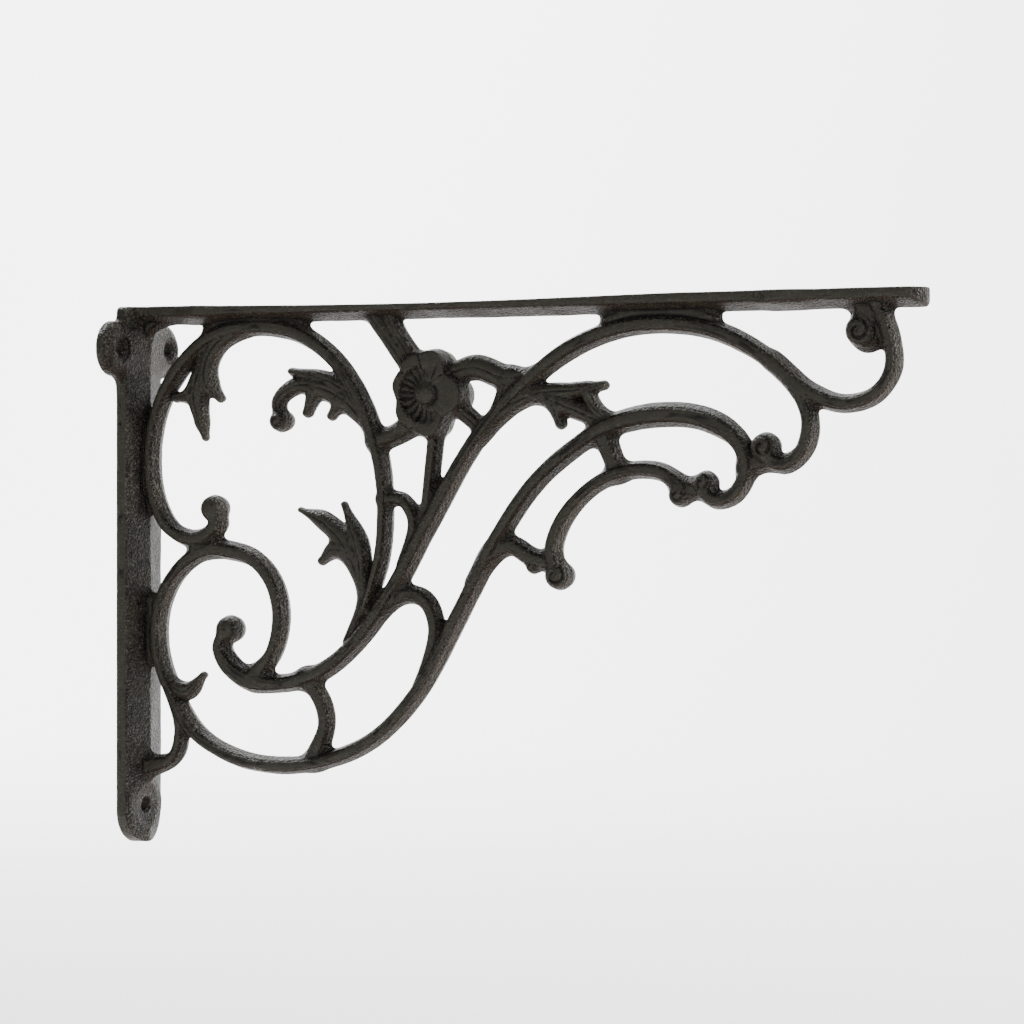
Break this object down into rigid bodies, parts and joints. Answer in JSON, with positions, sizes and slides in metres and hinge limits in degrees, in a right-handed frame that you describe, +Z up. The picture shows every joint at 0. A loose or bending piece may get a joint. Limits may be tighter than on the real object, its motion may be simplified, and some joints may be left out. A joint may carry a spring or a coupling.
{
  "type": "shelf bracket",
  "caption": "Ornamental cast-iron shelf bracket with an openwork web of scrolls, leaves and a flower between its wall plate and shelf arm.",
  "frame": {"origin": "on the wall plate's flat back, midway between the two ear screws", "axes": "+X out from the wall along the shelf arm, +Y along the wall, +Z up"},
  "size_m": [0.299, 0.0504, 0.19],
  "materials": {
    "cast_iron": "satin black-brown, fine cast grain"
  },
  "bodies": {
    "root": {"shelf_bracket": "cast_iron"}
  },
  "joints": []
}
